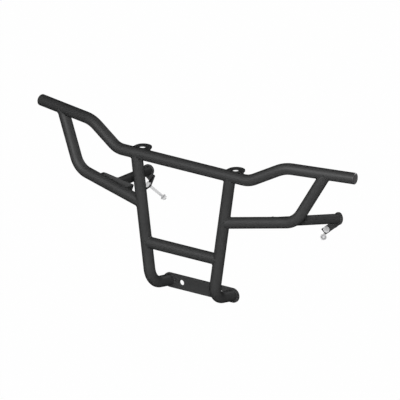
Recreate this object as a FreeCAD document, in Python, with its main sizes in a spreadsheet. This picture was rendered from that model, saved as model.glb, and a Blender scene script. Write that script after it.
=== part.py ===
"""Rear bumper of a side-by-side utility vehicle: a welded frame of bent round tube.

Frame: X across the vehicle, +Y from the bumper towards the vehicle, +Z up, millimetres.
The origin is the middle of the base plate's two holes, on the face that meets the vehicle.
The right half is modelled, and its twin is mirrored across the YZ plane.
"""
import FreeCAD, Part
import math
import os
import Sketcher
from FreeCAD import Matrix, Placement, Vector

SIZES = (
    # Tube stock
    ("tube_od", 41.3, "outside diameter of the frame tube"),
    ("tube_wall", 2.4, "wall of the frame tube"),
    ("arm_od", 34.9, "outside diameter of the arm tube"),
    ("arm_wall", 2.4, "wall of the arm tube"),
    # Top rail, by the corners of its centre line
    ("rail_height", 487.1, "rail axis above the base plate holes"),
    ("rail_reach", 109.8, "rail axis in front of the base plate's back face"),
    ("rail_knee_x", 285.7, "middle of the rail to its first bend"),
    ("wing_knee_x", 418.4, "middle of the rail to its second bend"),
    ("wing_rise", 68.7, "height of the wings above the middle run"),
    ("wing_angle", 12.7, "angle of the wings towards the vehicle, degrees"),
    ("rail_end_x", 679.5, "middle of the rail to the end of its tube"),
    ("rail_bend", 90.0, "centre-line radius of the rail's first bends"),
    ("wing_bend", 125.0, "centre-line radius of the rail's second bends"),
    # End caps of the rail
    ("cap_thickness", 4.0, "part of the cap outside the tube"),
    ("cap_edge", 2.5, "bevel of the cap's rim"),
    ("spigot_length", 12.0, "part of the cap inside the tube"),
    ("spigot_clearance", 0.2, "gap between the spigot and the tube's bore"),
    # Uprights
    ("upright_top_x", 203.6, "middle of the rail to an upright"),
    ("upright_foot_x", 135.8, "middle of the base plate to an upright's leg"),
    ("foot_reach", 115.6, "lower bend's corner in front of the base plate's back face"),
    ("foot_rise", 18.9, "lower bend's corner above the base plate holes"),
    ("foot_bend", 62.0, "centre-line radius of the lower bend"),
    ("cross_bar_height", 168.6, "cross bar axis above the base plate holes"),
    # Side tubes
    ("side_foot_height", 309.4, "inner end of a side tube on its upright"),
    ("side_knee_x", 470.7, "middle of the rail to a side tube's bend"),
    ("side_knee_back", 24.8, "side tube's bend behind the rail axis"),
    ("side_knee_height", 366.2, "side tube's bend above the base plate holes"),
    ("side_top_x", 572.4, "middle of the rail to the side tube's upper end"),
    ("side_bend", 85.0, "centre-line radius of the side tube's bend"),
    # Arms and their brackets
    ("arm_root_x", 321.0, "point of the side tube that an arm points at"),
    ("arm_end_x", 27.6, "far end of an arm outwards from the bolt at its tongue"),
    ("arm_end_back", 30.7, "far end of an arm behind that bolt"),
    ("arm_end_height", 37.9, "far end of an arm above that bolt"),
    ("bracket_standoff", 58.0, "side tube axis to the front of the bracket's web"),
    ("bracket_length", 122.0, "outside length of the bracket's web"),
    ("bracket_height", 35.0, "width of the flat bar that the bracket is bent from"),
    ("bracket_thickness", 5.0, "thickness of that flat bar"),
    ("bracket_bend", 7.5, "centre-line radius of the bracket's bends"),
    # End plates of the arms, bolts and nuts
    ("disc_diameter", 45.0, "round part of an end plate, which closes the arm"),
    ("end_plate_thickness", 5.0, "thickness of an end plate"),
    ("tongue_width", 24.5, "width of the end plate's bent tongue"),
    ("tongue_margin", 12.0, "bolt axis to the tongue's free edge"),
    ("bolt_x", 385.9, "bolt at the tongue's face, across"),
    ("bolt_back", 208.9, "bolt at the tongue's face, behind the base plate's back face"),
    ("bolt_height", 236.3, "bolt at the tongue's face, above the base plate holes"),
    ("bolt_dip_angle", 42.3, "angle of the bolt below the horizontal, degrees"),
    ("bolt_turn_angle", 42.4, "angle of the bolt from straight inwards to straight back, degrees"),
    ("bolt_diameter", 10.0, "shank of the bolt"),
    ("bolt_clearance", 0.5, "play of the shank in the tongue, all round"),
    ("bolt_length", 81.4, "bolt below its flange"),
    ("flange_diameter", 23.0, "flange of the bolt and of the nut"),
    ("flange_height", 2.5, "height of either flange"),
    ("hex_width", 16.0, "bolt head and nut across the flats"),
    ("hex_height", 7.5, "hexagon of the bolt head and of the nut"),
    ("nut_distance", 67.4, "tongue's face to the nut's flange"),
    ("thread_clearance", 0.1, "play between the shank and the nut, all round"),
    # Top tabs
    ("top_tab_x", 202.5, "middle of the rail to a top tab's hole"),
    ("top_tab_width", 62.0, "width of a top tab, and diameter of its round end"),
    ("top_tab_reach", 38.0, "rail axis to the centre of the top tab's round end"),
    ("top_tab_level", 9.0, "underside of the top tab above the rail axis"),
    ("top_tab_thickness", 4.5, "thickness of a top tab"),
    ("top_tab_hole", 24.0, "hole of a top tab"),
    ("top_tab_hole_inset", 4.0, "centre of the round end to the hole, towards the rail"),
    # Base plate
    ("plate_end_x", 136.8, "middle of the base plate to the centre of a round end"),
    ("plate_height", 53.0, "height of the base plate, and diameter of its round ends"),
    ("plate_thickness", 6.0, "thickness of the base plate"),
    ("plate_hole", 20.0, "holes of the base plate"),
    ("plate_hole_x", 84.0, "middle of the base plate to a hole"),
)

doc = FreeCAD.newDocument("RearBumper")
sheet = doc.addObject("Spreadsheet::Sheet", "Sizes")
for row, (alias, value, meaning) in enumerate(SIZES, start=1):
    sheet.set(f"A{row}", meaning)
    sheet.set(f"B{row}", str(value))
    sheet.setAlias(f"B{row}", alias)
doc.recompute()

nodes = []


def size(alias):
    """Value of one driving dimension."""
    return float(sheet.get(alias))


def unit(vector):
    """The vector's direction, with length 1."""
    return vector * (1 / vector.Length)


def frame_at(origin, x_dir, y_dir, z_dir):
    """Placement that carries the X, Y and Z axes to three unit directions."""
    return Placement(Matrix(
        x_dir.x, y_dir.x, z_dir.x, origin.x,
        x_dir.y, y_dir.y, z_dir.y, origin.y,
        x_dir.z, y_dir.z, z_dir.z, origin.z,
        0, 0, 0, 1))


def facing(origin, z_dir):
    """Placement that turns the Z axis to a direction, for round pieces."""
    return Placement(origin, FreeCAD.Rotation(Vector(0, 0, 1), z_dir))


def add(kind, name, **bindings):
    """New object of the document, with each named property bound to an expression."""
    item = doc.addObject(kind, name)
    for prop, expression in bindings.items():
        item.setExpression(prop, expression)
    return item


def cut(name, base, *tools):
    """The base with each tool taken away in turn; the last cut gets the name."""
    for number, tool in enumerate(tools, start=1):
        result = add("Part::Cut", name if number == len(tools) else f"{name}_cut_{number}")
        result.Base = base
        result.Tool = tool
        base = result
    return base


def fuse(name, *pieces):
    """One solid made of several."""
    result = add("Part::MultiFuse", name)
    result.Shapes = list(pieces)
    return result


def mirror(name, source):
    """The twin of a right-hand piece on the left."""
    twin = add("Part::Mirroring", name)
    twin.Source = source
    twin.Base = Vector(0, 0, 0)
    twin.Normal = Vector(1, 0, 0)
    return twin


def keep(right, pair=True):
    """Hand in a finished piece, with its left twin where it is one of a pair."""
    nodes.append(right)
    if pair:
        nodes.append(mirror(right.Name.replace("right_", "left_"), right))


def bent_path(name, corners, radii):
    """Centre line of straight runs through the corners, joined by tangent arcs."""
    edges = []
    start = corners[0]
    for before, corner, after, radius in zip(corners, corners[1:], corners[2:], radii):
        arriving = unit(corner - before)
        leaving = unit(after - corner)
        turn = arriving.getAngle(leaving)
        reach = radius * math.tan(turn / 2)
        inwards = unit(leaving - arriving)
        middle = corner + inwards * (radius / math.cos(turn / 2) - radius)
        arc_start = corner - arriving * reach
        arc_end = corner + leaving * reach
        edges.append(Part.LineSegment(start, arc_start).toShape())
        edges.append(Part.Arc(arc_start, middle, arc_end).toShape())
        start = arc_end
    edges.append(Part.LineSegment(start, corners[-1]).toShape())
    path = add("Part::Feature", name)
    path.Shape = Part.Wire(edges)
    return path


def sweep(name, path, section):
    """Solid of one section carried along a path."""
    solid = add("Part::Sweep", name)
    solid.Sections = [section]
    solid.Spine = (path, [f"Edge{number}" for number in range(1, len(path.Shape.Edges) + 1)])
    solid.Solid = True
    return solid


def bent_tube(name, corners, radii):
    """Frame tube along a bent centre line: its outer solid, and the hollow tube."""
    path = bent_path(f"{name}_path", corners, radii)
    solids = []
    for layer, diameter in (("outer", "Sizes.tube_od"), ("bore", "Sizes.tube_od - 2 * Sizes.tube_wall")):
        ring = add("Part::Circle", f"{name}_{layer}_ring", Radius=f"({diameter}) / 2")
        ring.Placement = facing(corners[0], unit(corners[1] - corners[0]))
        solids.append(sweep(f"{name}_{layer}", path, ring))
    outer, bore = solids
    return outer, cut(f"{name}_tube", outer, bore)


def on_plane(body, role, name):
    """New sketch on one of the body's own origin planes."""
    sketch = body.newObject("Sketcher::SketchObject", name)
    plane = next(item for item in body.Origin.OriginFeatures if item.Role == role)
    sketch.AttachmentSupport = [(plane, "")]
    sketch.MapMode = "FlatFace"
    return sketch


def constrain(sketch, expression, *constraint):
    """Dimension of a sketch, bound to the sheet."""
    number = sketch.addConstraint(Sketcher.Constraint(*constraint))
    sketch.setExpression(f"Constraints[{number}]", expression)


def pad(body, sketch, length):
    """Sketch of the body raised to a bound thickness."""
    feature = body.newObject("PartDesign::Pad", f"{body.Name}_pad")
    feature.Profile = sketch
    feature.setExpression("Length", length)
    return feature


# Corners of the centre lines on the right half
sweep_slope = math.tan(math.radians(size("wing_angle")))
rail_y = -size("rail_reach")
rail_z = size("rail_height")


def on_wing(x):
    """Point of the wing's axis at a distance from the middle."""
    return Vector(x, rail_y + (x - size("rail_knee_x")) * sweep_slope, rail_z + size("wing_rise"))


def on_upright(z):
    """Point of the upright's axis at a height."""
    share = (z - size("foot_rise")) / (rail_z - size("foot_rise"))
    foot = Vector(size("upright_foot_x"), -size("foot_reach"), 0)
    top = Vector(size("upright_top_x"), rail_y, 0)
    return foot + (top - foot) * share + Vector(0, 0, z)


def across(point):
    """The same point on the left half."""
    return Vector(-point.x, point.y, point.z)


rail_knee = Vector(size("rail_knee_x"), rail_y, rail_z)
wing_knee = on_wing(size("wing_knee_x"))
rail_end = on_wing(size("rail_end_x"))
upright_foot = on_upright(size("foot_rise"))
leg_end = Vector(size("upright_foot_x"), 0, 0)
side_foot = on_upright(size("side_foot_height"))
side_knee = Vector(size("side_knee_x"), rail_y + size("side_knee_back"), size("side_knee_height"))
side_top = on_wing(size("side_top_x"))
side_run = unit(side_knee - side_foot)
arm_root = side_foot + side_run * ((size("arm_root_x") - side_foot.x) / side_run.x)
bolt_seat = Vector(size("bolt_x"), size("bolt_back"), size("bolt_height"))
arm_end = bolt_seat + Vector(size("arm_end_x"), size("arm_end_back"), size("arm_end_height"))
arm_dir = unit(arm_end - arm_root)

# Top rail: one tube, bent up and back at both sides
rail_corners = [rail_end, wing_knee, rail_knee]
rail_corners += [across(corner) for corner in reversed(rail_corners)]
rail_bends = [size("wing_bend"), size("rail_bend"), size("rail_bend"), size("wing_bend")]
rail_outer, rail_tube = bent_tube("top_rail", rail_corners, rail_bends)
rail_tube.Label = "top_rail"
keep(rail_tube, pair=False)

# End caps: a plug with a bevelled rim, pushed into each end of the rail
cap = add("PartDesign::Body", "right_end_cap")
profile = on_plane(cap, "XZ_Plane", "cap_profile")
bore_radius = size("tube_od") / 2 - size("tube_wall")
spigot_radius = bore_radius - size("spigot_clearance")
cap_outline = [
    Vector(0, -size("spigot_length"), 0), Vector(spigot_radius, -size("spigot_length"), 0),
    Vector(spigot_radius, 0, 0), Vector(size("tube_od") / 2, 0, 0),
    Vector(size("tube_od") / 2, size("cap_thickness"), 0), Vector(0, size("cap_thickness"), 0)]
for start, end in zip(cap_outline, cap_outline[1:] + cap_outline[:1]):
    profile.addGeometry(Part.LineSegment(start, end))
for line in range(len(cap_outline)):
    profile.addConstraint(Sketcher.Constraint("Coincident", line, 2, (line + 1) % len(cap_outline), 1))
    profile.addConstraint(Sketcher.Constraint("Vertical" if line % 2 else "Horizontal", line))
profile.addConstraint(Sketcher.Constraint("PointOnObject", 5, 1, -2))
profile.addConstraint(Sketcher.Constraint("PointOnObject", 2, 1, -1))
constrain(profile, "Sizes.tube_od / 2 - Sizes.tube_wall - Sizes.spigot_clearance",
          "DistanceX", 0, 1, 0, 2, spigot_radius)
constrain(profile, "Sizes.tube_od / 2", "DistanceX", 4, 2, 4, 1, size("tube_od") / 2)
constrain(profile, "Sizes.spigot_length", "DistanceY", 1, 1, 1, 2, size("spigot_length"))
constrain(profile, "Sizes.cap_thickness", "DistanceY", 3, 1, 3, 2, size("cap_thickness"))
turned = cap.newObject("PartDesign::Revolution", "cap_turned")
turned.Profile = profile
turned.ReferenceAxis = (profile, ["V_Axis"])
turned.Angle = 360
doc.recompute()
rim = next(
    f"Edge{number}" for number, edge in enumerate(turned.Shape.Edges, start=1)
    if abs(edge.BoundBox.ZMin - size("cap_thickness")) < 0.01 and edge.BoundBox.XLength > 2 * spigot_radius)
bevel = cap.newObject("PartDesign::Chamfer", "cap_bevel")
bevel.Base = (turned, [rim])
bevel.setExpression("Size", "Sizes.cap_edge")
cap.Placement = facing(rail_end, unit(rail_end - wing_knee))
keep(cap)

# Uprights: coped to the rail at the top, bent back into a leg at the foot
upright_outer, upright_tube = bent_tube(
    "right_upright_stock", [on_upright(rail_z), upright_foot, leg_end], [size("foot_bend")])
vehicle_side = add("Part::Box", "vehicle_side", Length="4 * Sizes.upright_foot_x", Width="Sizes.tube_od",
                   Height="4 * Sizes.tube_od")
vehicle_side.Placement.Base = Vector(
    -2 * size("upright_foot_x"), -size("plate_thickness"), -2 * size("tube_od"))
keep(cut("right_upright", upright_tube, rail_outer, vehicle_side))

# Cross bar: straight, coped to both uprights
bar_end = on_upright(size("cross_bar_height"))
bar_tube = bent_tube("cross_bar_stock", [bar_end, across(bar_end)], [])[1]
left_upright_outer = mirror("left_upright_stock_outer", upright_outer)
keep(cut("cross_bar", bar_tube, upright_outer, left_upright_outer), pair=False)

# Side tubes: from the upright out to a bend and up to the wing
side_outer, side_tube = bent_tube(
    "right_side_stock", [side_foot, side_knee, side_top], [size("side_bend")])
keep(cut("right_side_tube", side_tube, upright_outer, rail_outer))

# Arm brackets: flat bar bent to a U, its legs coped to the back of the side tube
web_dir = unit(side_run - arm_dir * side_run.dot(arm_dir))
bracket_up = web_dir.cross(arm_dir)
tube_slope = side_run.dot(arm_dir) / side_run.dot(web_dir)
web_half = (size("bracket_length") - size("bracket_thickness")) / 2
web_depth = size("bracket_standoff") + size("bracket_thickness") / 2


def on_bracket(along, depth):
    """Point of the bracket's middle plane, along its web and back from the side tube."""
    return arm_root + web_dir * along + arm_dir * depth


bracket_corners = [
    on_bracket(-web_half, -web_half * tube_slope), on_bracket(-web_half, web_depth),
    on_bracket(web_half, web_depth), on_bracket(web_half, web_half * tube_slope)]
bracket_path = bent_path("bracket_path", bracket_corners, [size("bracket_bend")] * 2)
bar_section = add("Part::Plane", "bracket_section", Length="Sizes.bracket_thickness", Width="Sizes.bracket_height")
bar_section.Placement = frame_at(
    bracket_corners[0] - web_dir * (size("bracket_thickness") / 2) - bracket_up * (size("bracket_height") / 2),
    web_dir, bracket_up, web_dir.cross(bracket_up))
bracket_bar = sweep("bracket_bar", bracket_path, bar_section)
keep(cut("right_arm_bracket", bracket_bar, side_outer))

# Arms: straight tube from the bracket's web to the end plate
arm_start = arm_root + arm_dir * (size("bracket_standoff") + size("bracket_thickness"))
arm_length = (arm_end - arm_start).Length
arm_solids = []
for layer, diameter in (("outer", "Sizes.arm_od"), ("bore", "Sizes.arm_od - 2 * Sizes.arm_wall")):
    rod = add("Part::Cylinder", f"arm_{layer}", Radius=f"({diameter}) / 2")
    rod.Height = arm_length
    rod.Placement = facing(arm_start, arm_dir)
    arm_solids.append(rod)
keep(cut("right_arm", *arm_solids))

# End plates: a disc that closes the arm, and a tongue bent forward below it, square to the bolt
dip = math.radians(size("bolt_dip_angle"))
turn = math.radians(size("bolt_turn_angle"))
bolt_dir = Vector(-math.cos(dip) * math.cos(turn), math.cos(dip) * math.sin(turn), -math.sin(dip))
tongue_side = unit(bolt_dir.cross(Vector(0, 1, 0)))
tongue_back = tongue_side.cross(bolt_dir)
fold_dir = unit(bolt_dir.cross(arm_dir))
neck_up = fold_dir.cross(arm_dir)
free_edge = bolt_seat - tongue_back * size("tongue_margin")
tongue_length = (arm_end - free_edge).dot(arm_dir) / tongue_back.dot(arm_dir)
fold = free_edge + tongue_back * tongue_length
neck_width = size("tongue_width") / abs(fold_dir.dot(tongue_side))
neck_length = (arm_end - fold).dot(neck_up)
spare = size("tongue_width")

disc = add("Part::Cylinder", "end_disc", Radius="Sizes.disc_diameter / 2", Height="Sizes.end_plate_thickness")
disc.Placement = facing(arm_end, arm_dir)
tongue = add("Part::Box", "tongue", Width="Sizes.tongue_width", Height="Sizes.end_plate_thickness")
tongue.Length = tongue_length + spare
tongue.Placement = frame_at(
    free_edge - tongue_side * (size("tongue_width") / 2), tongue_back, tongue_side, bolt_dir)
neck = add("Part::Box", "neck", Height="Sizes.end_plate_thickness")
neck.Length = neck_length + spare
neck.Width = neck_width
neck.Placement = frame_at(fold - neck_up * spare - fold_dir * (neck_width / 2), neck_up, fold_dir, arm_dir)


def beyond(name, origin, x_dir, y_dir, z_dir):
    """Block past the far face of a plate, for trimming tongue and neck at their fold."""
    block = add("Part::Box", name, Length="8 * Sizes.tongue_width", Width="8 * Sizes.tongue_width",
                Height="4 * Sizes.tongue_width")
    corner = origin + z_dir * size("end_plate_thickness") - (x_dir + y_dir) * (4 * size("tongue_width"))
    block.Placement = frame_at(corner, x_dir, y_dir, z_dir)
    return block


shank_hole = add("Part::Cylinder", "tongue_hole", Radius="Sizes.bolt_diameter / 2 + Sizes.bolt_clearance",
                 Height="Sizes.end_plate_thickness")
shank_hole.Placement = facing(bolt_seat, bolt_dir)
bent_plate = fuse(
    "end_plate_blank", disc,
    cut("tongue_trimmed", tongue, beyond("behind_neck", fold, neck_up, fold_dir, arm_dir)),
    cut("neck_trimmed", neck, beyond("below_tongue", fold, tongue_back, tongue_side, bolt_dir)))
keep(cut("right_end_plate", bent_plate, shank_hole))


def flanged_hexagon(name, seat, direction):
    """Flange on its seat with the hexagon above it, as on a bolt head or a nut."""
    flange = add("Part::Cylinder", f"{name}_flange", Radius="Sizes.flange_diameter / 2",
                 Height="Sizes.flange_height")
    hexagon = add("Part::Prism", f"{name}_hexagon", Circumradius="Sizes.hex_width / sqrt(3)",
                  Height="Sizes.flange_height + Sizes.hex_height")
    hexagon.Polygon = 6
    flange.Placement = hexagon.Placement = facing(seat, direction)
    return flange, hexagon


# Bolts: flanged hexagon head on the tongue, shank through its hole
shank = add("Part::Cylinder", "bolt_shank", Radius="Sizes.bolt_diameter / 2", Height="Sizes.bolt_length")
shank.Placement = facing(bolt_seat, bolt_dir)
keep(fuse("right_bolt", shank, *flanged_hexagon("bolt", bolt_seat, -bolt_dir)))

# Nuts: flanged, near the tip of the shank, with room before them for the vehicle's lug
nut_seat = bolt_seat + bolt_dir * size("nut_distance")
nut_bore = add("Part::Cylinder", "nut_bore", Radius="Sizes.bolt_diameter / 2 + Sizes.thread_clearance",
               Height="Sizes.flange_height + Sizes.hex_height")
nut_bore.Placement = facing(nut_seat, bolt_dir)
keep(cut("right_nut", fuse("nut_blank", *flanged_hexagon("nut", nut_seat, bolt_dir)), nut_bore))

# Top tabs: flat plate with a round end and a hole, coped to the back of the rail
top_tab = add("PartDesign::Body", "top_tab_blank")
outline = on_plane(top_tab, "XY_Plane", "top_tab_outline")
tab_radius = size("top_tab_width") / 2
tab_reach = size("top_tab_reach")
outline.addGeometry(Part.LineSegment(Vector(tab_radius, -tab_reach, 0), Vector(tab_radius, 0, 0)))
outline.addGeometry(Part.ArcOfCircle(Part.Circle(Vector(0, 0, 0), Vector(0, 0, 1), tab_radius), 0, math.pi))
outline.addGeometry(Part.LineSegment(Vector(-tab_radius, 0, 0), Vector(-tab_radius, -tab_reach, 0)))
outline.addGeometry(Part.LineSegment(Vector(-tab_radius, -tab_reach, 0), Vector(tab_radius, -tab_reach, 0)))
hole_centre = Vector(0, -size("top_tab_hole_inset"), 0)
outline.addGeometry(Part.Circle(hole_centre, Vector(0, 0, 1), size("top_tab_hole") / 2))
outline.addConstraint(Sketcher.Constraint("Tangent", 0, 2, 1, 1))
outline.addConstraint(Sketcher.Constraint("Tangent", 1, 2, 2, 1))
outline.addConstraint(Sketcher.Constraint("Coincident", 2, 2, 3, 1))
outline.addConstraint(Sketcher.Constraint("Coincident", 3, 2, 0, 1))
outline.addConstraint(Sketcher.Constraint("Horizontal", 3))
outline.addConstraint(Sketcher.Constraint("Vertical", 0))
outline.addConstraint(Sketcher.Constraint("Coincident", 1, 3, -1, 1))
outline.addConstraint(Sketcher.Constraint("PointOnObject", 4, 3, -2))
constrain(outline, "Sizes.top_tab_width / 2", "Radius", 1, tab_radius)
constrain(outline, "Sizes.top_tab_hole / 2", "Radius", 4, size("top_tab_hole") / 2)
constrain(outline, "Sizes.top_tab_reach", "DistanceY", 0, 1, 0, 2, tab_reach)
constrain(outline, "Sizes.top_tab_hole_inset", "DistanceY", 4, 3, -1, 1, size("top_tab_hole_inset"))
pad(top_tab, outline, "Sizes.top_tab_thickness")
top_tab.Placement.Base = Vector(size("top_tab_x"), rail_y + tab_reach, rail_z + size("top_tab_level"))
keep(cut("right_top_tab", top_tab, rail_outer))

# Base plate: flat bar with round ends that the legs are welded to, and two holes
plate = add("PartDesign::Body", "base_plate")
outline = on_plane(plate, "XZ_Plane", "base_plate_outline")
end_x = size("plate_end_x")
end_radius = size("plate_height") / 2
upwards = Vector(0, 0, 1)
for side, first_angle in ((1, -math.pi / 2), (-1, math.pi / 2)):
    ring = Part.Circle(Vector(side * end_x, 0, 0), upwards, end_radius)
    outline.addGeometry(Part.ArcOfCircle(ring, first_angle, first_angle + math.pi))
for side in (1, -1):
    outline.addGeometry(Part.LineSegment(
        Vector(side * end_x, side * end_radius, 0), Vector(-side * end_x, side * end_radius, 0)))
for side in (1, -1):
    outline.addGeometry(Part.Circle(Vector(side * size("plate_hole_x"), 0, 0), upwards, size("plate_hole") / 2))
outline.addConstraint(Sketcher.Constraint("Tangent", 0, 2, 2, 1))
outline.addConstraint(Sketcher.Constraint("Tangent", 2, 2, 1, 1))
outline.addConstraint(Sketcher.Constraint("Tangent", 1, 2, 3, 1))
outline.addConstraint(Sketcher.Constraint("Tangent", 3, 2, 0, 1))
for ring in (0, 1, 4, 5):
    outline.addConstraint(Sketcher.Constraint("PointOnObject", ring, 3, -1))
outline.addConstraint(Sketcher.Constraint("Equal", 4, 5))
constrain(outline, "Sizes.plate_height / 2", "Radius", 0, end_radius)
constrain(outline, "Sizes.plate_hole / 2", "Radius", 4, size("plate_hole") / 2)
for ring, distance in ((0, "plate_end_x"), (4, "plate_hole_x")):
    constrain(outline, f"Sizes.{distance}", "DistanceX", -1, 1, ring, 3, size(distance))
    constrain(outline, f"Sizes.{distance}", "DistanceX", ring + 1, 3, -1, 1, size(distance))
pad(plate, outline, "Sizes.plate_thickness")
keep(plate, pair=False)

doc.recompute()
for item in doc.Objects:
    if "Invalid" in item.State or "Error" in item.State:
        raise RuntimeError(f"{item.Name} did not build: {item.State}")
os.makedirs("parts", exist_ok=True)
for node in nodes:
    if node.Shape.isNull() or not node.Shape.isValid() or len(node.Shape.Solids) != 1:
        raise RuntimeError(f"{node.Label} is not one valid solid")
    node.Shape.exportStep(f"parts/{node.Label}.step")
    print(node.Label, round(node.Shape.Volume), "mm3")
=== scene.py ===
"""Rear bumper of a side-by-side utility vehicle: a welded frame of bent steel tube, powder coated
black, with zinc-plated bolts. X runs across the vehicle, +Y towards it, +Z up, in metres."""
import math

import bmesh
import bpy
from mathutils import Matrix, Vector


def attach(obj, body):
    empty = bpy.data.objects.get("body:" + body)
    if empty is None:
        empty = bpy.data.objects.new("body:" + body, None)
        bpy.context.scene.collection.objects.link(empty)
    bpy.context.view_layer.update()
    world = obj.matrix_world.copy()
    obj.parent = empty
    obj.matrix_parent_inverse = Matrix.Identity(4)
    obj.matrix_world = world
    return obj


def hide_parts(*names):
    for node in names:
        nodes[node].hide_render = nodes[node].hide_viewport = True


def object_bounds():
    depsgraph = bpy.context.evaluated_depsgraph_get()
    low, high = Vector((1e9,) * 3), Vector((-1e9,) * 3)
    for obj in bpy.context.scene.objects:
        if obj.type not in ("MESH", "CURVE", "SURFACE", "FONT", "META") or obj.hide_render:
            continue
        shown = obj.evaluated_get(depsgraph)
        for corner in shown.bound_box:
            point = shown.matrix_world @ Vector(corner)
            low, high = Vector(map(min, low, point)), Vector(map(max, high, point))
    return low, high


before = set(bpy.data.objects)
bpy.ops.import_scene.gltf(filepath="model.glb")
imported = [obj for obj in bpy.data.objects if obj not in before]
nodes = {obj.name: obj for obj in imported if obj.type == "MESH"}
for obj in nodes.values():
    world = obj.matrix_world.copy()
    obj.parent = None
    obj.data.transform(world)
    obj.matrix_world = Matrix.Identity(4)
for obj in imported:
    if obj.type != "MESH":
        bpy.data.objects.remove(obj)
cad_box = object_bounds()

# Tube frame: the top rail, uprights, cross bar and side tubes are bent from 41 mm steel tube,
# coped where they meet, welded, and then powder coated in one go. The coat is a satin black with
# a fine grain, an orange-peel skin and faint clouds where the powder lay thicker or thinner.
COAT_BLACK = (0.0358, 0.0361, 0.0363, 1.0)
COAT_THIN = (0.0475, 0.0478, 0.0480, 1.0)
COAT_RIM = (0.0, 0.0, 0.0, 1.0)
COAT_FLAKE = 0.08
COAT_GLOSS = 0.0
COAT_ROUGHNESS = 0.56
CLOUDS_PER_METRE = 9.0
CLOUD_DETAIL = 3.0
CLOUD_SHARE = 0.8
CLOUD_ROUGHNESS = 0.10
GRAIN_PER_METRE = 260.0
GRAIN_DETAIL = 3.0
GRAIN_SHARE = 2.0
PEEL_PER_METRE = 700.0
PEEL_DETAIL = 2.0
PEEL_ROUGHNESS = 0.05
PEEL_STRENGTH = 0.5
PEEL_HEIGHT = 0.0001
PATTERN_MIDDLE = 0.5


class Shade:
    """Socket of a shader tree. Sums on it add Math nodes, and node() adds any other node."""

    def __init__(self, tree, socket=None):
        self.tree = tree
        self.socket = socket

    def node(self, kind, settings=None, sockets=None, out=0):
        """Adds a node, sets its settings first and then its sockets, and returns one output."""
        item = self.tree.nodes.new(kind)
        for name, value in (settings or {}).items():
            setattr(item, name, value)
        for name, value in (sockets or {}).items():
            if isinstance(value, Shade):
                self.tree.links.new(value.socket, item.inputs[name])
            else:
                item.inputs[name].default_value = value
        return Shade(self.tree, item.outputs[out] if item.outputs else None)

    def sum_with(self, operation, first, second):
        return self.node("ShaderNodeMath", {"operation": operation}, {0: first, 1: second})

    def __add__(self, other):
        return self.sum_with("ADD", self, other)

    def __sub__(self, other):
        return self.sum_with("SUBTRACT", self, other)

    def __rsub__(self, other):
        return self.sum_with("SUBTRACT", other, self)

    def __mul__(self, other):
        return self.sum_with("MULTIPLY", self, other)

    __radd__ = __add__
    __rmul__ = __mul__


def new_finish(name):
    """Empty material, with the Shade that its nodes are made from."""
    material = bpy.data.materials.new(name)
    material.use_nodes = True
    material.node_tree.nodes.clear()
    return material, Shade(material.node_tree)


def close_finish(tree, surface):
    """Joins the finished shader to the material's output."""
    tree.node("ShaderNodeOutputMaterial", None, {"Surface": surface})


def pattern(tree, per_metre, detail):
    """Uneven pattern from 0 to 1, which keeps its place on the object."""
    place = tree.node("ShaderNodeTexCoord", out="Object")
    return tree.node("ShaderNodeTexNoise", None,
                     {"Vector": place, "Scale": per_metre, "Detail": detail})


def between(tree, share, dark, light):
    """Colour between a dark and a light one."""
    return tree.node("ShaderNodeMix", {"data_type": "RGBA"},
                     {"Factor": share, 6: dark, 7: light}, out=2)


def dress(finish, *node_names):
    """Gives solids of the frame a finish."""
    for name in node_names:
        slots = nodes[name].data.materials
        slots.clear()
        slots.append(finish)


def powder_coat():
    """Black powder coat with its clouds, grain and skin."""
    material, tree = new_finish("powder_coat_black")
    cloud = pattern(tree, CLOUDS_PER_METRE, CLOUD_DETAIL) - PATTERN_MIDDLE
    grain = pattern(tree, GRAIN_PER_METRE, GRAIN_DETAIL) - PATTERN_MIDDLE
    peel = pattern(tree, PEEL_PER_METRE, PEEL_DETAIL)
    lightness = PATTERN_MIDDLE + cloud * CLOUD_SHARE + grain * GRAIN_SHARE
    skin = tree.node("ShaderNodeBump", None,
                     {"Height": peel, "Strength": PEEL_STRENGTH, "Distance": PEEL_HEIGHT})
    close_finish(tree, tree.node("ShaderNodeBsdfPrincipled", None, {
        "Base Color": between(tree, lightness, COAT_BLACK, COAT_THIN),
        "Roughness": (COAT_ROUGHNESS + cloud * CLOUD_ROUGHNESS
                      + (peel - PATTERN_MIDDLE) * PEEL_ROUGHNESS),
        "Normal": skin, "Metallic": COAT_FLAKE,
        "Specular IOR Level": COAT_GLOSS, "Specular Tint": COAT_RIM}))
    return material


coat = powder_coat()
dress(coat, "top_rail", "right_upright", "left_upright", "cross_bar", "right_side_tube",
      "left_side_tube")

# Weld beads of the frame: where tube meets tube, a bead about 4 mm wide runs round the coped end.
# It is laid in small overlapping pools, and the coat covers it with the rest.
TUBE_RADIUS = 0.02065
UPRIGHT_FOOT = Vector((0.1358, -0.1156, 0.0189))
UPRIGHT_TOP = Vector((0.2036, -0.1098, 0.4871))
CROSS_BAR_HEIGHT = 0.1686
SIDE_FOOT_HEIGHT = 0.3094
SIDE_KNEE = Vector((0.4707, -0.0850, 0.3662))
SIDE_TOP = Vector((0.5724, -0.0452, 0.5558))
WING_SWEEP = math.radians(12.7)
ACROSS = Vector((1, 0, 0))
ALONG_WING = Vector((math.cos(WING_SWEEP), math.sin(WING_SWEEP), 0))
BEAD_RADIUS = 0.0022
BEAD_SIDES = 8
POOL_LENGTH = 0.0036
POOL_SWELL = 0.24
POOL_MEAN = 0.6
STEPS_PER_POOL = 4
MERGE_DISTANCE = 0.000001


def mirrored(place):
    """The same place on the left half."""
    return Vector((-place.x, place.y, place.z))


HALVES = (("right", Vector), ("left", mirrored))


def on_upright(height):
    """Point of the right upright's axis."""
    share = (height - UPRIGHT_FOOT.z) / (UPRIGHT_TOP.z - UPRIGHT_FOOT.z)
    return UPRIGHT_FOOT.lerp(UPRIGHT_TOP, share)


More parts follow.
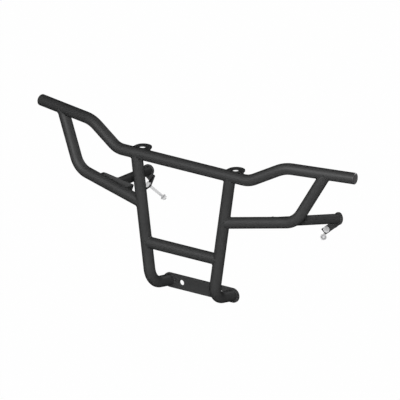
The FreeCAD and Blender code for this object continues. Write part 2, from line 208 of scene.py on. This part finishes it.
def leave_tube(start, heading, centre, axis):
    """Distance from a point, along a heading, to where it comes out of a frame tube."""
    offset = start - centre
    offset -= axis * offset.dot(axis)
    slant = heading - axis * heading.dot(axis)
    half = offset.dot(slant)
    room = half * half - slant.length_squared * (offset.length_squared - TUBE_RADIUS ** 2)
    return (math.sqrt(max(room, 0)) - half) / slant.length_squared


def swell(pools):
    """Thickness of a bead, a number of pools from its start: a pool is fullest in its middle."""
    return 1 + POOL_SWELL * (abs(math.sin(math.pi * pools)) - POOL_MEAN)


def add_piece(name, shape, finish, crease=math.pi):
    """Turns a finished shape into a piece of the bumper."""
    bmesh.ops.remove_doubles(shape, verts=shape.verts, dist=MERGE_DISTANCE)
    bmesh.ops.recalc_face_normals(shape, faces=shape.faces)
    for face in shape.faces:
        face.smooth = True
    mesh = bpy.data.meshes.new(name)
    shape.to_mesh(mesh)
    shape.free()
    mesh.set_sharp_from_angle(angle=crease)
    mesh.materials.append(finish)
    piece = bpy.data.objects.new(name, mesh)
    bpy.context.scene.collection.objects.link(piece)
    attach(piece, "root")
    return piece


def weld_round(name, root, heading, radius, reach):
    """Bead round a tube's end. The tube's axis runs from root along heading, and reach gives the
    distance from a point beside root to the piece that the tube is welded to. At the front the
    bead is ground back to the foremost face of the frame."""
    side = heading.orthogonal().normalized()
    other = heading.cross(side)
    pools = round(math.tau * radius / POOL_LENGTH)
    bead = bmesh.new()
    section = Matrix.Translation((radius, 0, 0)) @ Matrix.Rotation(math.pi / 2, 4, "X")
    bmesh.ops.create_circle(bead, segments=BEAD_SIDES, radius=BEAD_RADIUS, matrix=section)
    bmesh.ops.spin(bead, geom=bead.verts[:] + bead.edges[:], cent=(0, 0, 0), axis=(0, 0, 1),
                   angle=math.tau, steps=pools * STEPS_PER_POOL, use_merge=True)
    for vert in bead.verts:
        angle = math.atan2(vert.co.y, vert.co.x)
        core = Vector((math.cos(angle), math.sin(angle), 0)) * radius
        local = core + (vert.co - core) * swell(angle / math.tau * pools)
        start = root + side * core.x + other * core.y
        vert.co = root + side * local.x + other * local.y + heading * (local.z + reach(start))
        vert.co.y = max(vert.co.y, cad_box[0].y)
    add_piece(name, bead, coat)


def weld_tube_ends(name, root, heading, centre, axis):
    """Bead of a tube coped to another tube, on both halves."""
    for half, turn in HALVES:
        ahead = turn(heading)
        middle = turn(centre)
        main = turn(axis)
        weld_round(f"{half}_{name}", turn(root), ahead, TUBE_RADIUS,
                   lambda start: leave_tube(start, ahead, middle, main))


upright_dir = (UPRIGHT_TOP - UPRIGHT_FOOT).normalized()
bar_end = on_upright(CROSS_BAR_HEIGHT)
side_foot = on_upright(SIDE_FOOT_HEIGHT)
side_run = (SIDE_KNEE - side_foot).normalized()
side_rise = (SIDE_TOP - SIDE_KNEE).normalized()
weld_tube_ends("upright_weld", UPRIGHT_TOP, -upright_dir, UPRIGHT_TOP, ACROSS)
weld_tube_ends("cross_bar_weld", bar_end, -ACROSS, bar_end, upright_dir)
weld_tube_ends("side_tube_inner_weld", side_foot, side_run, side_foot, upright_dir)
weld_tube_ends("side_tube_outer_weld", SIDE_TOP, -side_rise, SIDE_TOP, ALONG_WING)

# Arms: each is a straight 35 mm tube that reaches back to the vehicle. A bracket of flat bar, bent
# to a U, carries it behind the side tube, and an end plate with a bent tongue closes its far end.
# All three are steel, welded to each other and to the frame before coating.
ARM_RADIUS = 0.01745
ARM_ROOT_X = 0.321
ARM_END = Vector((0.4135, 0.2396, 0.2742))
WEB_BACK = 0.063
BRACKET_LEG_MIDDLE = 0.0585
BRACKET_THICKNESS = 0.005
BRACKET_HEIGHT = 0.035
BEAD_END_SHARE = 0.4
BEAD_CREASE = math.radians(60)

dress(coat, "right_arm", "left_arm", "right_arm_bracket", "left_arm_bracket", "right_end_plate",
      "left_end_plate")


def weld_straight(name, start, end, heading=ACROSS, reach=None):
    """Bead in a line from start to end, which thins out at its ends. Where reach is given, each
    point of the bead moves along heading by the distance that reach gives for it."""
    run = end - start
    pools = round(run.length / POOL_LENGTH)
    steps = pools * STEPS_PER_POOL
    bead = bmesh.new()
    bmesh.ops.create_circle(bead, segments=BEAD_SIDES, radius=BEAD_RADIUS,
                            matrix=run.to_track_quat("Z", "X").to_matrix().to_4x4())
    bmesh.ops.spin(bead, geom=bead.verts[:] + bead.edges[:], cent=(0, 0, 0), axis=(0, 0, 1),
                   dvec=run / steps, angle=0, steps=steps)
    bmesh.ops.holes_fill(bead, edges=bead.edges, sides=BEAD_SIDES)
    for vert in bead.verts:
        share = vert.co.dot(run) / run.length_squared
        core = run * share
        taper = min(1, BEAD_END_SHARE + min(share, 1 - share) * pools)
        moved = heading * reach(start + core) if reach else Vector()
        vert.co = start + core + (vert.co - core) * swell(share * pools) * taper + moved
    add_piece(name, bead, coat, BEAD_CREASE)


arm_root = side_foot + side_run * ((ARM_ROOT_X - side_foot.x) / side_run.x)
arm_dir = (ARM_END - arm_root).normalized()
arm_length = (ARM_END - arm_root).length
web_dir = (side_run - arm_dir * side_run.dot(arm_dir)).normalized()
bracket_up = web_dir.cross(arm_dir)
for half, turn in HALVES:
    root = turn(arm_root)
    back = turn(arm_dir)
    tube = turn(side_run)
    weld_round(f"{half}_arm_root_weld", root, back, ARM_RADIUS, lambda start: WEB_BACK)
    weld_round(f"{half}_arm_end_weld", root, back, ARM_RADIUS, lambda start: arm_length)
    for leg, side in (("inner", -1), ("outer", 1)):
        for face, offset in (("near", -1), ("far", 1)):
            along = side * BRACKET_LEG_MIDDLE + offset * BRACKET_THICKNESS / 2
            low = arm_root + web_dir * along - bracket_up * (BRACKET_HEIGHT / 2)
            high = low + bracket_up * BRACKET_HEIGHT
            weld_straight(f"{half}_bracket_{leg}_{face}_weld", turn(low), turn(high), back,
                          lambda start: leave_tube(start, back, root, tube))

# Top tabs: two lugs of steel plate with a round end and a hole, coped and welded to the back of
# the rail. Their sides are bent down behind the rail to stiffen them.
TAB_X = 0.2025
TAB_WIDTH = 0.062
TAB_UNDERSIDE = 0.009
TAB_TOP = 0.0135
LIP_THICKNESS = 0.0045
LIP_ROUND = 0.0006
LIP_ROUND_STEPS = 2
LIP_OUTLINE = ((-0.0914, 0.4963), (-0.0682, 0.4963), (-0.0730, 0.4840), (-0.0900, 0.4840))
LIP_CREASE = math.radians(40)

dress(coat, "right_top_tab", "left_top_tab")


def tab_lip(name, outer_x, inner_x):
    """Side of a top tab, bent down behind the rail, from its outline seen from the side."""
    lip = bmesh.new()
    blank = lip.faces.new([lip.verts.new((outer_x, back, height)) for back, height in LIP_OUTLINE])
    grown = bmesh.ops.extrude_face_region(lip, geom=[blank])["geom"]
    bmesh.ops.translate(lip, vec=(inner_x - outer_x, 0, 0),
                        verts=[part for part in grown if isinstance(part, bmesh.types.BMVert)])
    bmesh.ops.bevel(lip, geom=lip.edges[:], offset=LIP_ROUND, segments=LIP_ROUND_STEPS,
                    profile=0.5, affect="EDGES", material=-1)
    add_piece(name, lip, coat, LIP_CREASE)


for half, sign in (("right", 1), ("left", -1)):
    for place, side in (("inner", -1), ("outer", 1)):
        outer_x = TAB_X + side * TAB_WIDTH / 2
        inner_x = outer_x - side * LIP_THICKNESS
        tab_lip(f"{half}_tab_{place}_lip", sign * outer_x, sign * inner_x)

tab_left = Vector((TAB_X - TAB_WIDTH / 2, UPRIGHT_TOP.y, UPRIGHT_TOP.z))
for half, turn in HALVES:
    for level, height in (("top", TAB_TOP), ("under", TAB_UNDERSIDE)):
        on_rail = tab_left + Vector((0, math.sqrt(TUBE_RADIUS ** 2 - height ** 2), height))
        weld_straight(f"{half}_tab_{level}_weld", turn(on_rail),
                      turn(on_rail + ACROSS * TAB_WIDTH))

# Base plate: a flat steel bar with round ends and two holes, by which the bumper is bolted to the
# vehicle. The uprights' legs are welded to its front before coating.
PLATE_FRONT = -0.006

dress(coat, "base_plate")
leg_dir = Vector((0, -UPRIGHT_FOOT.y, -UPRIGHT_FOOT.z)).normalized()
for half, turn in HALVES:
    weld_round(f"{half}_leg_weld", turn(UPRIGHT_FOOT), leg_dir, TUBE_RADIUS,
               lambda start: (PLATE_FRONT - start.y) / leg_dir.y)

# End caps: plugs that close the rail's two ends. They are moulded from black plastic with a fine
# spark-eroded grain, and are pushed into the tube after coating.
PLASTIC_BLACK = (0.030, 0.030, 0.031, 1.0)
PLASTIC_SCUFFED = (0.042, 0.042, 0.042, 1.0)
PLASTIC_GLOSS = 0.1
PLASTIC_ROUGHNESS = 0.52
SPARKS_PER_METRE = 1500.0
SPARK_DETAIL = 2.0
SPARK_ROUGHNESS = 0.1
SPARK_STRENGTH = 0.6
SPARK_HEIGHT = 0.00005


def cap_plastic():
    """Moulded plastic with its grain."""
    material, tree = new_finish("cap_plastic_black")
    sparks = pattern(tree, SPARKS_PER_METRE, SPARK_DETAIL)
    skin = tree.node("ShaderNodeBump", None,
                     {"Height": sparks, "Strength": SPARK_STRENGTH, "Distance": SPARK_HEIGHT})
    close_finish(tree, tree.node("ShaderNodeBsdfPrincipled", None, {
        "Base Color": between(tree, sparks, PLASTIC_BLACK, PLASTIC_SCUFFED),
        "Roughness": PLASTIC_ROUGHNESS + sparks * SPARK_ROUGHNESS,
        "Normal": skin, "Specular IOR Level": PLASTIC_GLOSS}))
    return material


dress(cap_plastic(), "right_end_cap", "left_end_cap")

# Bolts and nuts: flanged hexagon bolts of 10 mm thread with flanged nuts, plated with bright zinc.
# They hold the arms' tongues to the lugs of the vehicle. The heads are forged and their ends are
# turned to a cone, and the thread is rolled on the last part of the shank.
ZINC_LIGHT = (0.78, 0.78, 0.77, 1.0)
ZINC_GREY = (0.66, 0.66, 0.68, 1.0)
ZINC_METAL = 0.6
ZINC_ROUGHNESS = 0.42
ZINC_CLOUD_ROUGHNESS = 0.16
ZINC_CLOUDS_PER_METRE = 160.0
ZINC_CLOUD_DETAIL = 4.0
BOLT_SEAT = Vector((0.3859, 0.2089, 0.2363))
BOLT_DIP = math.radians(42.3)
BOLT_TURN = math.radians(42.4)
BOLT_LENGTH = 0.0814
NUT_DISTANCE = 0.0674
SHANK_RADIUS = 0.005
CORE_RADIUS = 0.00422
THREAD_LENGTH = 0.030
THREAD_PITCH = 0.0015
RIDGE_HALF = THREAD_PITCH * 0.45
RIDGE_DEPTH = 0.0002
STEPS_PER_TURN = 18
POINT_LENGTH = 0.0014
POINT_RADIUS = 0.0035
HEX_HEIGHT = 0.010
HEX_FLATS = 0.008
HEX_CUTS = 7
HEX_CREASE = math.radians(28)
CONE_RADIUS = 0.0076
CONE_SLOPE = math.tan(math.radians(30))
FLANGE_RADIUS = 0.0115
FLANGE_NECK = HEX_FLATS * 0.98
FLANGE_RIM = 0.0012
RIM_ROUND = 0.0003
FLANGE_HEIGHT = 0.0032
NUT_BORE = 0.0051
TURNED_STEPS = 48


def zinc_plate():
    """Zinc plate: a cool, slightly cloudy bright metal."""
    material, tree = new_finish("zinc_plate")
    cloud = pattern(tree, ZINC_CLOUDS_PER_METRE, ZINC_CLOUD_DETAIL)
    close_finish(tree, tree.node("ShaderNodeBsdfPrincipled", None, {
        "Base Color": between(tree, cloud, ZINC_GREY, ZINC_LIGHT),
        "Roughness": ZINC_ROUGHNESS + cloud * ZINC_CLOUD_ROUGHNESS, "Metallic": ZINC_METAL}))
    return material


def turned(shape, profile):
    """Adds a turned form to a shape, from its profile of radius and height."""
    line = [shape.verts.new((radius, 0, height)) for radius, height in profile]
    edges = [shape.edges.new(pair) for pair in zip(line, line[1:])]
    bmesh.ops.spin(shape, geom=line + edges, cent=(0, 0, 0), axis=(0, 0, 1), angle=math.tau,
                   steps=TURNED_STEPS, use_merge=True)


def pulled(shape, edges, place):
    """Extrudes a ring of edges and puts each new point where place says. Returns the new ring."""
    grown = bmesh.ops.extrude_edge_only(shape, edges=edges)["geom"]
    rim = {part for part in grown if isinstance(part, bmesh.types.BMVert)}
    for vert in rim:
        vert.co = place(vert.co)
    return [part for part in grown
            if isinstance(part, bmesh.types.BMEdge) and set(part.verts) <= rim]


def ring_at(radius, height):
    """Rule that puts a point on a circle, at its own angle."""
    level = Vector((0, 0, height))
    return lambda place: Vector((place.x, place.y, 0)).normalized() * radius + level


def hexagon(shape, bore):
    """Adds a wrench hexagon with a turned end, closed on top or with a bore through it."""
    bmesh.ops.create_circle(shape, segments=6, radius=HEX_FLATS / math.cos(math.pi / 6))
    bmesh.ops.subdivide_edges(shape, edges=shape.edges, cuts=HEX_CUTS)
    foot = shape.edges[:]
    shoulder = pulled(shape, foot, lambda place: Vector((
        place.x, place.y, HEX_HEIGHT - (place.xy.length - CONE_RADIUS) * CONE_SLOPE)))
    top = pulled(shape, shoulder, ring_at(CONE_RADIUS, HEX_HEIGHT))
    if bore:
        mouth = pulled(shape, top, ring_at(bore, HEX_HEIGHT))
        inner = pulled(shape, mouth, ring_at(bore, 0))
        bmesh.ops.bridge_loops(shape, edges=inner + foot)
    else:
        bmesh.ops.edgeloop_fill(shape, edges=top)
        bmesh.ops.edgeloop_fill(shape, edges=foot)


def flange(shape, bore):
    """Adds the flange's washer face, rim and cone."""
    turned(shape, [(bore, 0), (FLANGE_RADIUS - RIM_ROUND, 0), (FLANGE_RADIUS, RIM_ROUND),
                   (FLANGE_RADIUS, FLANGE_RIM - RIM_ROUND), (FLANGE_RADIUS - RIM_ROUND, FLANGE_RIM),
                   (FLANGE_NECK, FLANGE_HEIGHT), (bore, FLANGE_HEIGHT), (bore, 0)])


def shank(shape, thread_start):
    """Adds the shank, which is thinner under the thread and ends in a short point."""
    turned(shape, [(0, -FLANGE_HEIGHT), (SHANK_RADIUS, -FLANGE_HEIGHT),
                   (SHANK_RADIUS, thread_start),
                   (CORE_RADIUS, thread_start + SHANK_RADIUS - CORE_RADIUS),
                   (CORE_RADIUS, BOLT_LENGTH - POINT_LENGTH),
                   (POINT_RADIUS, BOLT_LENGTH), (0, BOLT_LENGTH)])


def thread(shape, start, length):
    """Adds a rolled thread as one closed ridge wound round the shank's core."""
    steps = int(length / THREAD_PITCH) * STEPS_PER_TURN
    inside = CORE_RADIUS - RIDGE_DEPTH
    ridge = [shape.verts.new(place) for place in (
        (inside, 0, start - RIDGE_HALF), (SHANK_RADIUS, 0, start),
        (inside, 0, start + RIDGE_HALF))]
    edges = [shape.edges.new(pair) for pair in zip(ridge, ridge[1:] + ridge[:1])]
    shape.faces.new(ridge)
    wound = bmesh.ops.spin(shape, geom=ridge + edges, cent=(0, 0, 0), axis=(0, 0, 1),
                           angle=steps / STEPS_PER_TURN * math.tau,
                           dvec=(0, 0, THREAD_PITCH / STEPS_PER_TURN), steps=steps)
    last = [part for part in wound["geom_last"] if isinstance(part, bmesh.types.BMEdge)]
    bmesh.ops.contextual_create(shape, geom=last)


def set_down(shape, seat, axis):
    """Moves a shape that was made along Z to its seat and axis."""
    turn = axis.to_track_quat("Z", "X").to_matrix().to_4x4()
    bmesh.ops.transform(shape, matrix=Matrix.Translation(seat) @ turn, verts=shape.verts)


zinc = zinc_plate()
zinc_pieces = bpy.data.collections.new("zinc_pieces")
bolt_dir = Vector((-math.cos(BOLT_DIP) * math.cos(BOLT_TURN),
                   math.cos(BOLT_DIP) * math.sin(BOLT_TURN), -math.sin(BOLT_DIP)))
thread_start = BOLT_LENGTH - THREAD_LENGTH
head_down = Matrix.Rotation(math.pi, 3, "X")
for half, turn in HALVES:
    seat = turn(BOLT_SEAT)
    axis = turn(bolt_dir)
    bolt = bmesh.new()
    hexagon(bolt, 0)
    flange(bolt, 0)
    bmesh.ops.rotate(bolt, cent=(0, 0, 0), matrix=head_down, verts=bolt.verts)
    shank(bolt, thread_start)
    thread(bolt, thread_start + THREAD_PITCH, THREAD_LENGTH - 2 * THREAD_PITCH)
    set_down(bolt, seat, axis)
    bolt_piece = add_piece(f"{half}_flange_bolt", bolt, zinc, HEX_CREASE)
    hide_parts(f"{half}_bolt")
    zinc_pieces.objects.link(bolt_piece)
    nut = bmesh.new()
    hexagon(nut, NUT_BORE)
    flange(nut, NUT_BORE)
    set_down(nut, seat + axis * NUT_DISTANCE, axis)
    nut_piece = add_piece(f"{half}_flange_nut", nut, zinc, HEX_CREASE)
    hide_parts(f"{half}_nut")
    zinc_pieces.objects.link(nut_piece)

# Floor and room: a wide pale floor at the height of the ground under the vehicle, in a white room.
# Both look plain white, also in the zinc, and throw only a little light on the bumper.
FLOOR_DROP = 0.38
FLOOR_HALF = 9.0
FLOOR_PAINT = (0.15, 0.15, 0.15, 1.0)
FLOOR_GLOW = 0.992
WHITE = (1.0, 1.0, 1.0, 1.0)
ROOM_LIGHT = 0.002
BACKDROP_LIGHT = 1.0

floor_mesh = bpy.data.meshes.new("floor")
floor_shape = bmesh.new()
bmesh.ops.create_grid(floor_shape, x_segments=1, y_segments=1, size=FLOOR_HALF)
bmesh.ops.translate(floor_shape, vec=(0, 0, cad_box[0].z - FLOOR_DROP), verts=floor_shape.verts)
floor_shape.to_mesh(floor_mesh)
floor_shape.free()
floor = bpy.data.objects.new("floor", floor_mesh)
bpy.context.scene.collection.objects.link(floor)


def seen_directly(tree):
    """1 for what is seen straight, in a mirror or through glass, and 0 for light on the object."""
    camera_ray = tree.node("ShaderNodeLightPath", out="Is Camera Ray")
    glossy_ray = tree.node("ShaderNodeLightPath", out="Is Glossy Ray")
    through_ray = tree.node("ShaderNodeLightPath", out="Is Transmission Ray")
    return tree.node("ShaderNodeMath", {"operation": "ADD", "use_clamp": True},
                     {0: camera_ray + glossy_ray, 1: through_ray})


floor_finish, tree = new_finish("floor_white")
paint = tree.node("ShaderNodeBsdfDiffuse", None, {"Color": FLOOR_PAINT})
glow = tree.node("ShaderNodeEmission", None, {"Color": WHITE, "Strength": BACKDROP_LIGHT})
close_finish(tree, tree.node("ShaderNodeMixShader", None,
                             {0: seen_directly(tree) * FLOOR_GLOW, 1: paint, 2: glow}))
floor_mesh.materials.append(floor_finish)

world = bpy.data.worlds.new("studio_white")
bpy.context.scene.world = world
world.use_nodes = True
world.node_tree.nodes.clear()
tree = Shade(world.node_tree)
room = tree.node("ShaderNodeBackground", None, {"Color": WHITE, "Strength": ROOM_LIGHT})
backdrop = tree.node("ShaderNodeBackground", None, {"Color": WHITE, "Strength": BACKDROP_LIGHT})
tree.node("ShaderNodeOutputWorld", None, {"Surface": tree.node(
    "ShaderNodeMixShader", None, {0: seen_directly(tree), 1: room, 2: backdrop})})

# Camera and lamps: the camera looks at the bumper in parallel, as from a long way off. One lamp
# shines from its direction, a weak one from higher up to its left, and one from behind the bumper.
# Two wide lamps only show as a sheen on the coat, and the zinc pieces are left out of their light.
AIM = Vector((0.072254, -0.109336, 0.371278))
AZIMUTH = 36.5
ELEVATION = 19.9
PHOTO_WIDTH = 1.398
CAMERA_DISTANCE = 4.0
LAMP_DISTANCE = 12


def place_at(holder, azimuth, elevation, distance):
    """Sets a camera or lamp in the studio, pointed at the middle of the bumper."""
    turn = math.radians(azimuth)
    rise = math.radians(elevation)
    away = Vector((math.sin(turn) * math.cos(rise), -math.cos(turn) * math.cos(rise),
                   math.sin(rise)))
    holder.location = AIM + away * distance
    holder.rotation_mode = "QUATERNION"
    holder.rotation_quaternion = away.to_track_quat("Z", "Y")
    bpy.context.scene.collection.objects.link(holder)


def soft_lamp(name, azimuth, elevation, width, power, falls, mirrored_in):
    """Square soft box, whose light falls on the bumper, is mirrored in it, or both."""
    lamp = bpy.data.lights.new(name, "AREA")
    lamp.shape = "SQUARE"
    lamp.size = width
    lamp.energy = power
    holder = bpy.data.objects.new(name, lamp)
    holder.visible_camera = False
    holder.visible_diffuse = falls
    holder.visible_glossy = mirrored_in
    place_at(holder, azimuth, elevation, LAMP_DISTANCE)
    return holder


camera = bpy.data.cameras.new("camera")
camera.type = "ORTHO"
camera.ortho_scale = PHOTO_WIDTH
camera_holder = bpy.data.objects.new("camera", camera)
place_at(camera_holder, AZIMUTH, ELEVATION, CAMERA_DISTANCE)
bpy.context.scene.camera = camera_holder
bpy.context.scene.view_settings.view_transform = "Standard"

soft_lamp("front_lamp", azimuth=AZIMUTH, elevation=ELEVATION, width=0.8, power=1600,
          falls=True, mirrored_in=False)
soft_lamp("side_lamp", azimuth=-6, elevation=31, width=3.0, power=110,
          falls=True, mirrored_in=True)
soft_lamp("back_lamp", azimuth=216, elevation=2, width=2.0, power=1600,
          falls=True, mirrored_in=False)
front_sheen_lamp = soft_lamp("front_sheen_lamp", azimuth=-6, elevation=31, width=3.0, power=9800,
                             falls=False, mirrored_in=True)
back_sheen_lamp = soft_lamp("back_sheen_lamp", azimuth=176, elevation=31, width=3.0, power=7000,
                            falls=False, mirrored_in=True)
for sheen_lamp in (front_sheen_lamp, back_sheen_lamp):
    sheen_lamp.light_linking.receiver_collection = zinc_pieces
for piece in zinc_pieces.collection_objects:
    piece.light_linking.link_state = "EXCLUDE"
